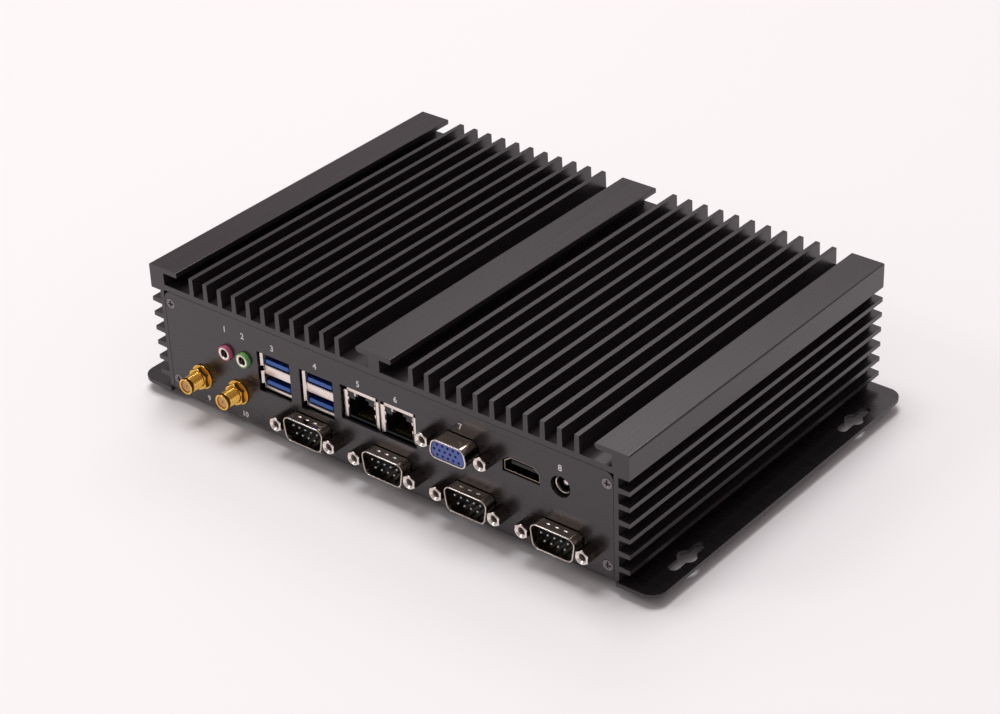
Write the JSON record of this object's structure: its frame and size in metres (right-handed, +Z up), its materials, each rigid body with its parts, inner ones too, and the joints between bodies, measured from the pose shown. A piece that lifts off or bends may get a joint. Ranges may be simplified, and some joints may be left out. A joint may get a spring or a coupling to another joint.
{
  "type": "fanless industrial computer",
  "caption": "Fanless industrial computer: finned black extrusion over a folded steel tray with keyhole ears, ports on one face.",
  "frame": {"origin": "middle of the tray's flat underside, halfway between the ears and between the two end panels; the rubber feet reach 4 mm below it", "axes": "+X to the right along the connector face, +Y from the connector face to the back, +Z up through the fins"},
  "size_m": [0.2344, 0.1627, 0.0558],
  "materials": {
    "anodised_housing": "black anodised, satin",
    "painted_tray": "black powder coat, satin",
    "black_screw": "blackened steel",
    "plain_screw": "zinc plated",
    "foot_rubber": "matt",
    "board_laminate": "solder mask",
    "plated_steel": "nickel plated",
    "plain_aluminium": "milled",
    "chip_package": "moulded",
    "pad_grey": "soft pad",
    "black_moulding": "moulded",
    "blue_moulding": "moulded",
    "pink_moulding": "moulded",
    "green_moulding": "moulded",
    "gold_plate": "gold plated",
    "cell_steel": "satin",
    "grey_ribbon": "flat cable",
    "cable_jacket": "smooth",
    "switch_steel": "turned",
    "light_lens": "clear"
  },
  "bodies": {
    "case": {"antenna_cable_1": "cable_jacket", "antenna_cable_2": "cable_jacket", "antenna_connector_1": "gold_plate", "antenna_connector_2": "gold_plate", "antenna_nuts": "gold_plate", "antenna_washers": "gold_plate", "base_tray": "painted_tray", "board_screws": "plain_screw", "board_standoffs": "plated_steel", "card_posts": "plated_steel", "card_screws": "plain_screw", "card_sockets": "black_moulding", "coin_cell": "cell_steel", "coin_cell_holder": "black_moulding", "cpu_package": "chip_package", "data_port_1_shell": "plated_steel", "data_port_1_tongues": "blue_moulding", "data_port_2_shell": "plated_steel", "data_port_2_tongues": "blue_moulding", "display_socket_shell": "plated_steel", "display_socket_tongue": "black_moulding", "heat_spreader": "plain_aluminium", "heatsink_housing": "anodised_housing", "housing_screws": "black_screw", "jackscrews": "plated_steel", "main_board": "board_laminate", "memory_module": "board_laminate", "memory_socket": "black_moulding", "mic_jack": "pink_moulding", "network_jack_1_insert": "black_moulding", "network_jack_1_shield": "plated_steel", "network_jack_2_insert": "black_moulding", "network_jack_2_shield": "plated_steel", "power_jack_body": "black_moulding", "power_jack_contacts": "plated_steel", "power_switch_body": "switch_steel", "rubber_feet": "foot_rubber", "serial_headers": "black_moulding", "serial_port_1_insert": "black_moulding", "serial_port_1_pins": "gold_plate", "serial_port_1_shell": "plated_steel", "serial_port_2_insert": "black_moulding", "serial_port_2_pins": "gold_plate", "serial_port_2_shell": "plated_steel", "serial_port_3_insert": "black_moulding", "serial_port_3_pins": "gold_plate", "serial_port_3_shell": "plated_steel", "serial_port_4_insert": "black_moulding", "serial_port_4_pins": "gold_plate", "serial_port_4_shell": "plated_steel", "serial_ribbons": "grey_ribbon", "speaker_jack": "green_moulding", "status_lights": "light_lens", "storage_card": "board_laminate", "thermal_pad": "pad_grey", "video_port_insert": "blue_moulding", "video_port_shell": "plated_steel", "wireless_card": "board_laminate"},
    "button": {"power_button": "switch_steel"}
  },
  "joints": [
    {"name": "power_button_press", "type": "slide", "parent": "case", "child": "button", "axis": [0, -1, 0], "range_m": [0, 0.0015], "stiffness_N_per_m": 2000}
  ]
}
